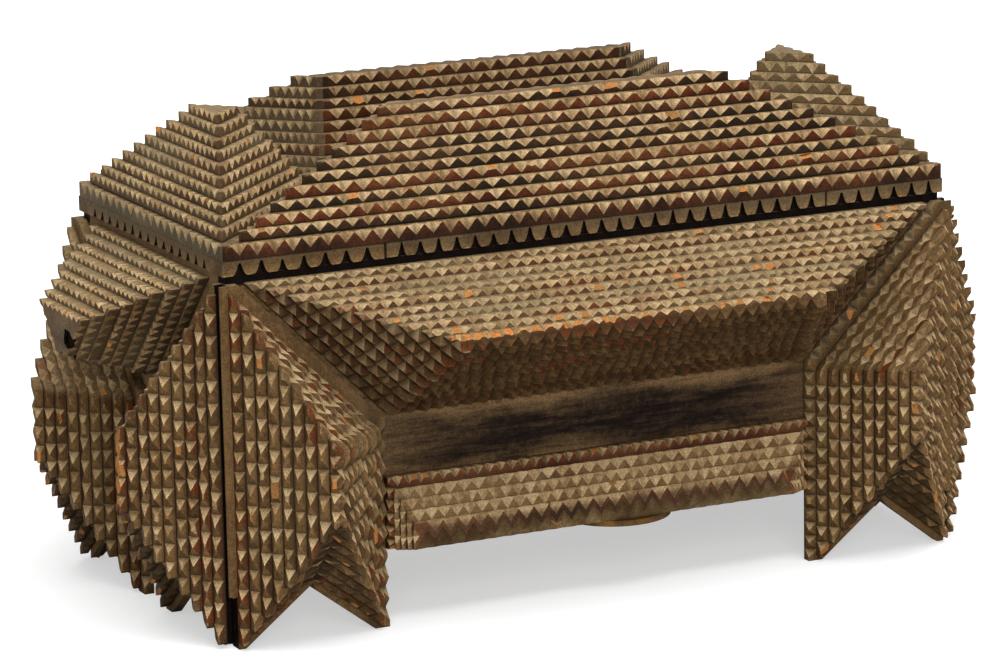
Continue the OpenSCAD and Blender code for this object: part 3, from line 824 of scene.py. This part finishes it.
def seam_lines(shape, axis):
    """Inner corners where a layer lies on the next one, and the foot of the lowest layer, along which a thin
    line of painted shade goes.

    On an upright stack the corners of ledges that face up are full of dust, and are left out.
    """
    lines = []
    for edge in shape.edges:
        one, other = edge.link_faces
        inner = edge.calc_face_angle_signed() < -SLIGHT_BEND
        dusty = axis.z == 0 and max(one.normal.z, other.normal.z) > SLOPING
        foot = min(one.normal.dot(axis), other.normal.dot(axis)) < -ALONG
        if (inner and not dusty) or foot:
            lines.append((edge.verts[0].co.copy(), edge.verts[1].co.copy()))
    return lines


def notch_rows(shape, axis, plan, luck):
    """Each arris to notch: its ends, its side, and the sizes and chances of its notches."""
    base = min(vert.co.dot(axis) for vert in shape.verts)
    by_layer = {}
    found = []
    for row in arris_rows(shape, axis):
        for place, (level, ends, normal) in enumerate(row):
            last = place + 1 == len(row)
            if plan["sides"] and max(normal.dot(side) for side in plan["sides"]) < ALONG:
                continue
            layer = round(level, 4)
            if layer not in by_layer:
                by_layer[layer] = (luck.uniform(*LAYER_WIDTHS), luck.uniform(*LAYER_DEPTHS))
            width, depth = by_layer[layer]
            length = (ends[1] - ends[0]).length
            slanting = plan["slant_pitch"] and max(abs(part) for part in normal) < ALONG
            pitch = (plan["slant_pitch"] if slanting else plan["pitch"]) * width
            film = plan["slant_film"] if slanting else plan["film"]
            if plan["end_film"] and abs(normal.x) > ALONG:
                film = plan["end_film"]
            grime = plan["grime"]
            if normal.z > SLOPING and not last:
                film = plan["high_film"]
                grime = plan["high_grime"]
            # Rows that face down are darkened as painted shade
            if normal.z < -SLOPING:
                grime = plan["low_shade"]
            spacing = 1.0
            if length < LEAST_ARRIS * pitch:
                continue
            rise = plan["rise"] or level - (row[place - 1][0] if place else base)
            tread = plan["tread"]
            if not tread and not last:
                tread = (ends[0] - row[place + 1][1][0]).dot(normal)
            elif not tread:
                tread = (row[place - 1][1][0] - ends[0]).dot(normal)
            tread_cut = tread * plan["tread_share"] * depth
            margin = plan["margin"]
            if last and plan["zigzag_cut"] and abs(normal.z) > SLOPING:
                # The notches of the lower edge lie half a pitch beside those of the upper one, and meet
                tread_cut, spacing = plan["zigzag_cut"] if normal.z > 0 else plan["zigzag_low_cut"]
                pitch = length / (round(length / plan["zigzag_pitch"] - 2 * margin) + 2 * margin)
                margin += 0.5 * max(0.0, normal.z)
            chips = plan["ridge_chips"] if last else plan["chips"]
            if normal.z < -ACROSS:
                chips *= plan["low_chips"]
            found.append((ends, normal, {
                "pitch": pitch,
                "margin": margin,
                "width": pitch * spacing,
                "tread_cut": tread_cut,
                "riser_cut": rise * plan["riser_share"] * depth,
                "fresh_chance": chips,
                "worn_chance": plan["worn"],
                "grey_film": film * luck.uniform(*FILM_SPREAD),
                "grime": grime,
            }))
    return found


def add_lines(shape, axis, plan, luck):
    """Adds the arrises to notch and the seams to the solid's mesh as loose edges with their values."""
    rows = notch_rows(shape, axis, plan, luck)
    seams = seam_lines(shape, axis)
    numbers = {name: shape.verts.layers.float.new(name) for name in ARRIS_NUMBERS}
    vectors = {name: shape.verts.layers.float_vector.new(name) for name in ARRIS_VECTORS}
    for ends, normal, values in rows:
        pair = [shape.verts.new(end) for end in ends]
        shape.edges.new(pair)
        for vert in pair:
            for name, value in values.items():
                vert[numbers[name]] = value
            vert[vectors["out"]] = normal
            vert[vectors["up"]] = axis
    for ends in seams:
        pair = [shape.verts.new(end) for end in ends]
        shape.edges.new(pair)
        for vert in pair:
            vert[numbers["seam"]] = 1.0


TOOTH_CHANGE = 0.2
JUST_INSIDE = 0.3 * MM


def colour_layers(mesh, axis, plan, luck, levels):
    """One varnish tone for each layer, with a little change from tooth to tooth; its back is bare wood."""
    layer_tone = [luck.uniform(*plan["tones"]) for _ in levels]
    if plan["face_tone"]:
        layer_tone[-1] = plan["face_tone"]
    kinds = [item.value for item in mesh.attributes["cut_kind"].data]
    tones = [item.value for item in mesh.attributes["tone"].data]
    for face in mesh.polygons:
        if kinds[face.index] != OLD_FACE:
            continue
        if face.normal.dot(axis) < -ALONG:
            kinds[face.index] = BARE_BACK
        level = (face.center - face.normal * JUST_INSIDE).dot(axis)
        layer = min(sum(level > one for one in levels), len(levels) - 1)
        tones[face.index] = layer_tone[layer] + TOOTH_CHANGE * (tones[face.index] - 0.5)
    set_values(mesh, "cut_kind", kinds)
    set_values(mesh, "tone", tones)


# How a piece is cut and aged; high, low, slant and end rows are named by the way they face; rows that face
# down get their darkening as painted shade

PLAIN_PLAN = {
    "pitch": 7.5 * MM, "slant_pitch": None, "rise": None, "tread": None, "zigzag_cut": None,
    "tread_share": 0.92, "riser_share": 0.93, "margin": 0.3, "least_width": 0.86, "most_width": 1.02,
    "uneven": 0.15, "sway": 0.035, "blunt": 1.3 * MM, "sides": None, "slides": False,
    "chips": 0.03, "ridge_chips": 0.08, "low_chips": 1.0, "worn": 0.06,
    "tones": (0.05, 0.75), "face_tone": None,
    "film": 0.06, "high_film": 0.1, "slant_film": 0.06, "end_film": None,
    "grime": 0.0, "high_grime": 0.0, "low_shade": 0.0,
}


def notch(node, axis, grain, changes, breaks=(), cutter=NOTCH_CUTTER):
    """Makes the notched piece that stands for a CAD node, cut by the plain plan with its changes."""
    plan = {**PLAIN_PLAN, **changes}
    luck = random.Random(node)
    shape = solid_of(node)
    if plan["blunt"]:
        blunt_corners(shape, axis, plan["blunt"])
    sway_layers(shape, axis, luck, plan["slides"])
    levels = sorted({round(level, 4) for row in arris_rows(shape, axis) for level, _, _ in row})
    add_lines(shape, axis, plan, luck)
    mesh = bpy.data.meshes.new(node + "_raw")
    shape.to_mesh(mesh)
    shape.free()
    for name in ("custom_normal", "sharp_face"):
        if name in mesh.attributes:
            mesh.attributes.remove(mesh.attributes[name])
    raw = bpy.data.objects.new(node + "_raw", mesh)
    add_to_scene(raw)
    bites = bpy.data.collections.new(node + "_breaks")
    for block in breaks:
        bites.objects.link(block)
    modifier = raw.modifiers.new("notches", "NODES")
    modifier.node_group = NOTCH_TREE
    values = {
        "Notch Cutter": cutter,
        "Fresh Chip Cutter": FRESH_CHIP_CUTTER,
        "Worn Chip Cutter": WORN_CHIP_CUTTER,
        "Breaks": bites,
        "Least Width": plan["least_width"],
        "Most Width": plan["most_width"],
        "Unevenness": plan["uneven"],
        "Sway": plan["sway"],
        "Seed": luck.randrange(1, 9000),
        "Wood": NOTCHED[grain],
    }
    for name, value in values.items():
        modifier[INPUTS[name]] = value
    finished = raw.evaluated_get(bpy.context.evaluated_depsgraph_get())
    made = bpy.data.meshes.new_from_object(finished)
    bpy.data.objects.remove(raw)
    bpy.data.collections.remove(bites)
    for block in breaks:
        bpy.data.objects.remove(block)

    colour_layers(made, axis, plan, luck, levels)
    for name in set(ARRIS_NUMBERS + ARRIS_VECTORS) - {"grey_film", "grime"}:
        if name in made.attributes:
            made.attributes.remove(made.attributes[name])
    made.shade_flat()
    piece = bpy.data.objects.new(node + "_notched", made)
    add_to_scene(piece)
    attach(piece, BODY_OF[node])
    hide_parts(node)


# The notched pieces and how each was cut

LID_LONG = {"pitch": 7.8 * MM, "slides": True, "tones": (0.0, 0.45), "ridge_chips": 0.2}
LID_BACK = {**LID_LONG, "tones": (0.15, 0.45), "grime": 0.32, "slant_pitch": 3.8 * MM, "slant_film": 0.6}
LID_LEFT = {
    "pitch": 5.7 * MM, "slides": True, "tones": (0.5, 0.9), "film": 0.4, "worn": 0.15, "uneven": 0.25,
}
LID_RIGHT = {**LID_LEFT, "pitch": 7.4 * MM, "tones": (0.9, 1.1), "grime": 0.25, "worn": 0.3, "uneven": 0.3}
WALL_LONG = {
    "pitch": 5.9 * MM, "slant_pitch": 6.8 * MM, "slides": True, "tread_share": 1.2,
    "least_width": 0.95, "most_width": 1.12, "tones": (0.3, 0.95), "face_tone": 0.8,
    "chips": 0.04, "ridge_chips": 0.5, "low_chips": 0.02, "worn": 0.12, "high_film": 0.45, "low_shade": 0.65,
}
WALL_END = {
    "pitch": 5.4 * MM, "slides": True, "uneven": 0.25, "tones": (0.6, 1.0), "face_tone": 0.85,
    "low_chips": 0.3, "worn": 0.15, "film": 0.25, "high_film": 0.5,
}
LEG = {
    "pitch": 8.8 * MM, "slant_pitch": 7.4 * MM, "tread_share": 1.0,
    "least_width": 0.92, "most_width": 1.1, "uneven": 0.2, "tones": (0.66, 1.15),
    "chips": 0.04, "ridge_chips": 0.25, "low_chips": 4.0, "worn": 0.15,
    "slant_film": 0.25, "high_film": 0.35, "grime": 0.03, "high_grime": 0.06, "low_shade": 0.9,
}
FINE_LEG = {
    **LEG, "pitch": 6.8 * MM, "tones": (0.72, 1.2), "high_film": 0.0, "grime": 0.0, "high_grime": 0.55,
}
BOARD_EDGE = {
    "rise": 4.3 * MM, "tread": 4.0 * MM, "blunt": 0.0, "tones": (1.0, 1.1), "film": 0.1, "grime": 0.2,
    "chips": 0.02, "ridge_chips": 0.02, "low_chips": 1.0,
}
PANEL = {
    "pitch": 8.3 * MM, "tread": 3.4 * MM, "rise": 5.8 * MM, "tones": (-0.1, 0.15), "ridge_chips": 0.03,
    "end_film": 0.7,
}
RIM = {
    "pitch": 8.0 * MM, "tread": 4.5 * MM, "rise": 6.4 * MM, "tones": (1.0, 1.1), "film": 0.3, "grime": 0.0,
    "least_width": 0.8, "most_width": 1.1, "ridge_chips": 0.0, "worn": 0.0, "blunt": 0.0,
}
RIM_END = {**RIM, "tread": 3.0 * MM, "rise": 4.6 * MM, "film": 0.6, "grime": 0.1}
DRAWER_BOARD = {"pitch": 5.6 * MM, "tread": 4.4 * MM, "rise": 4.0 * MM, "tones": (0.3, 0.4), "blunt": 0.0}
DRAWER_ROWS = {
    "pitch": 5.6 * MM, "tread_share": 1.05, "zigzag_pitch": 6.9 * MM,
    "zigzag_cut": (5.6 * MM, 0.92), "zigzag_low_cut": (8.4 * MM, 1.45),
    "least_width": 1.15, "most_width": 1.25, "uneven": 0.1, "sway": 0.02, "blunt": 0.6 * MM,
    "tones": (0.95, 1.1), "face_tone": 0.3, "chips": 0.02, "ridge_chips": 0.03,
    "film": 0.1, "high_film": 0.2, "low_shade": 0.8,
}


# The open joint at a leg's corner, in mm: a slit behind the outer board's edge, and a wider gap at the foot,
# both painted near black as shade

JOINT_X = (169, 164.3)
JOINT_LOW_Z = -2
SLIT_Y = (81.0, 76.3)
SLIT_TOP_Z = {"front": 160, "back": 140}
GAP_Y = (83.0, 74.5)
GAP_TOP_Z = 22


def open_joint(board, aside, outward):
    bites = []
    slit_top = SLIT_TOP_Z["front" if outward == FRONT else "back"]
    for part, top, (front, back) in (("slit", slit_top, SLIT_Y), ("foot", GAP_TOP_Z, GAP_Y)):
        one = aside * JOINT_X[0] + outward * front
        other = aside * JOINT_X[1] + outward * back
        low = (min(one.x, other.x), min(one.y, other.y), JOINT_LOW_Z)
        high = (max(one.x, other.x), max(one.y, other.y), top)
        bites.append(break_block(f"{board}_{part}", low, high, SHADED_GAP, roughness=0.02))
    return bites


def raw_strip():
    """The face of the outermost layer of the front left leg, split off down to bright wood."""
    return break_block("raw_strip", (-203, -50.5, 57), (-199.8, -43, 89), turn=(0, 1.5, 0), roughness=0.03)


# Teeth split off along the ridge of the front stack, mostly near its left end: from and to X, in mm

RIDGE_BREAKS = (
    (-87, -79), (-77, -71), (-70, -65), (-62, -58), (-52, -46), (-37, -34), (-19, -14), (34, 36),
)
RIDGE_Y = -123.5
RIDGE_Z = 127.4
BREAK_DEPTH = 1.5
BREAK_RISE = 5


def ridge_breaks():
    bites = []
    for place, (start, end) in enumerate(RIDGE_BREAKS):
        low = (start, RIDGE_Y - BREAK_DEPTH, RIDGE_Z - BREAK_RISE)
        high = (end, RIDGE_Y + BREAK_DEPTH, RIDGE_Z + BREAK_RISE)
        bites.append(break_block(f"ridge_break_{place}", low, high, turn=(-45, 0, 0), roughness=0.14))
    return bites


def knot_hole():
    """A hole in the outermost layer of the left end, painted near black as shade."""
    low = (-207, -14, 113.5)
    high = (-203, -4, 121)
    return break_block("knot_hole", low, high, SHADED_GAP, turn=(20, 0, 0), roughness=0.1)


notch("lid_front_stack", UP, "X", LID_LONG)
notch("lid_back_stack", UP, "X", LID_BACK)
notch("lid_left_stack", UP, "Y", LID_LEFT)
notch("lid_right_stack", UP, "Y", LID_RIGHT)
notch("lid_panel", UP, "X", PANEL)
for name in ("rim_front_left", "rim_front_middle", "rim_front_right"):
    notch(name, DOWN, "X", {**RIM, "sides": (FRONT,)}, cutter=RIM_CUTTER)
notch("rim_back", DOWN, "X", {**RIM, "sides": (BACK,)}, cutter=RIM_CUTTER)
notch("rim_left", DOWN, "Y", {**RIM_END, "sides": (LEFT,)}, cutter=RIM_CUTTER)
notch("rim_right", DOWN, "Y", {**RIM_END, "sides": (RIGHT,)}, cutter=RIM_CUTTER)
notch("front_wall_stack", FRONT, "X", WALL_LONG, ridge_breaks())
notch("back_wall_stack", BACK, "X", WALL_LONG)
notch("left_wall_stack", LEFT, "Y", WALL_END, [knot_hole()])
notch("right_wall_stack", RIGHT, "Y", WALL_END)
for end, outward in (("front", FRONT), ("back", BACK)):
    for hand, aside, carving in (("left", LEFT, LEG), ("right", RIGHT, FINE_LEG)):
        leg = f"{end}_{hand}_leg_"
        splits = [raw_strip()] if leg == "front_left_leg_" else []
        notch(leg + end + "_stack", outward, "Z", carving)
        notch(leg + "side_stack", aside, "Z", carving, splits)
        for board, way, inner in ((end + "_board", outward, -aside), ("side_board", aside, -outward)):
            edges = (inner, (inner + UP).normalized()) if hand == "right" else (inner,)
            joint = open_joint(leg + board, aside, outward)
            notch(leg + board, way, "Z", {**carving, **BOARD_EDGE, "sides": edges}, joint)
notch("drawer_front", FRONT, "X", DRAWER_BOARD)
notch("drawer_front_layers", FRONT, "X", DRAWER_ROWS)

for cutter in (NOTCH_CUTTER, FRESH_CHIP_CUTTER, WORN_CHIP_CUTTER, RIM_CUTTER):
    bpy.data.objects.remove(cutter)


# CAD nodes that keep their shape get their finished materials

KEPT = (
    (WALL_X, ("front_wall", "back_wall", "case_bottom", "compartment_floor")),
    (WALL_Y, ("left_wall", "right_wall", "floor_cleats", "drawer_guides")),
    (DRAWER_X, ("drawer_back", "drawer_bottom")),
    (DRAWER_Y, ("drawer_left_side", "drawer_right_side")),
    (TAB_BRASS, ("pull_tab",)),
    (HINGE_BRASS, ("case_hinge_leaves", "lid_hinge_leaves", "hinge_pins", "tab_tacks")),
    (HINGE_BRASS, ("case_hinge_screws", "lid_hinge_screws")),
)
for material, nodes in KEPT:
    for node in nodes:
        slots = NODES[node].data.materials
        for place in range(len(slots)):
            slots[place] = material


# Floor, light and camera

FLOOR_HALF = 6.0
FLOOR_GLOW = 0.5
GLOW_RANGE = (0.3, 0.9)


def make_floor():
    """A pale floor that keeps the shadow near the box and turns white further out."""
    corners = [(x * FLOOR_HALF, y * FLOOR_HALF, 0) for x, y in ((-1, -1), (1, -1), (1, 1), (-1, 1))]
    mesh = bpy.data.meshes.new("studio_floor")
    mesh.from_pydata(corners, [], [(0, 1, 2, 3)])
    floor = bpy.data.objects.new("studio_floor", mesh)
    add_to_scene(floor)
    material, tree, shader = new_material("studio_floor")
    shader.inputs["Base Color"].default_value = FLOOR_PALE
    shader.inputs["Roughness"].default_value = 0.9
    shader.inputs["Specular IOR Level"].default_value = 0.0
    path = put(tree, "ShaderNodeLightPath").outputs
    place = put(tree, "ShaderNodeTexCoord").outputs["Object"]
    apart = put(tree, "ShaderNodeVectorMath", {0: place}, operation="LENGTH").outputs["Value"]
    strength = spread(tree, apart, *GLOW_RANGE, FLOOR_GLOW, 1.0)
    seen = maths(tree, "MULTIPLY", path["Is Camera Ray"], strength)
    glow = put(tree, "ShaderNodeEmission", {"Strength": seen})
    both = put(tree, "ShaderNodeAddShader", {0: shader.outputs[0], 1: glow.outputs[0]})
    tree.links.new(both.outputs[0], tree.nodes["Material Output"].inputs["Surface"])
    mesh.materials.append(material)


AMBIENT = 0.4


def make_world():
    world = bpy.data.worlds.new("studio")
    world.use_nodes = True
    bpy.context.scene.world = world
    tree = world.node_tree
    path = put(tree, "ShaderNodeLightPath").outputs
    seen = maths(tree, "MAXIMUM", path["Is Camera Ray"], path["Is Transmission Ray"])
    strength = maths(tree, "MULTIPLY_ADD", seen, 1.0 - AMBIENT, AMBIENT)
    back = tree.nodes["Background"]
    back.inputs["Color"].default_value = PURE_WHITE
    tree.links.new(strength, back.inputs["Strength"])


BOX_MIDDLE = Vector((0, 0, 0.1))


def add_softbox(name, place, width, height, watts):
    """A soft light that looks at the box."""
    light = bpy.data.lights.new(name, "AREA")
    light.shape = "RECTANGLE"
    light.size = width
    light.size_y = height
    light.energy = watts
    lamp = bpy.data.objects.new(name, light)
    add_to_scene(lamp)
    lamp.location = place
    lamp.rotation_euler = (BOX_MIDDLE - Vector(place)).to_track_quat("-Z", "Y").to_euler()


CAMERA_TURN = math.radians(-25.7)
CAMERA_RISE = math.radians(12.9)
CAMERA_ROLL = math.radians(-1.15)
CAMERA_DISTANCE = 1.98
CAMERA_TARGET = Vector((-0.0063, 0, 0.0947))
CAMERA_FOCAL_PIXELS = 4648
PHOTO_WIDTH = 1000
SENSOR = 36.0


def make_camera():
    data = bpy.data.cameras.new("photo_camera")
    data.sensor_width = SENSOR
    data.lens = CAMERA_FOCAL_PIXELS / PHOTO_WIDTH * SENSOR
    data.clip_start = 0.05
    data.clip_end = 50
    camera = bpy.data.objects.new("photo_camera", data)
    add_to_scene(camera)
    away = Vector((
        math.sin(CAMERA_TURN) * math.cos(CAMERA_RISE),
        -math.cos(CAMERA_TURN) * math.cos(CAMERA_RISE),
        math.sin(CAMERA_RISE),
    ))
    level = (-away).cross(UP).normalized()
    above = level.cross(-away)
    right = math.cos(CAMERA_ROLL) * level + math.sin(CAMERA_ROLL) * above
    top = math.cos(CAMERA_ROLL) * above - math.sin(CAMERA_ROLL) * level
    place = CAMERA_TARGET + away * CAMERA_DISTANCE
    camera.matrix_world = Matrix((
        (right.x, top.x, away.x, place.x),
        (right.y, top.y, away.y, place.y),
        (right.z, top.z, away.z, place.z),
        (0, 0, 0, 1),
    ))
    bpy.context.scene.camera = camera


make_floor()
make_world()
add_softbox("top_softbox", (0.0, -0.45, 1.6), width=1.8, height=1.3, watts=34)
add_softbox("front_softbox", (-0.8, -2.0, 0.9), width=1.3, height=1.0, watts=20)
add_softbox("back_softbox", (0.9, 2.2, 1.0), width=1.3, height=1.0, watts=9)
make_camera()
bpy.context.scene.view_settings.view_transform = "Standard"
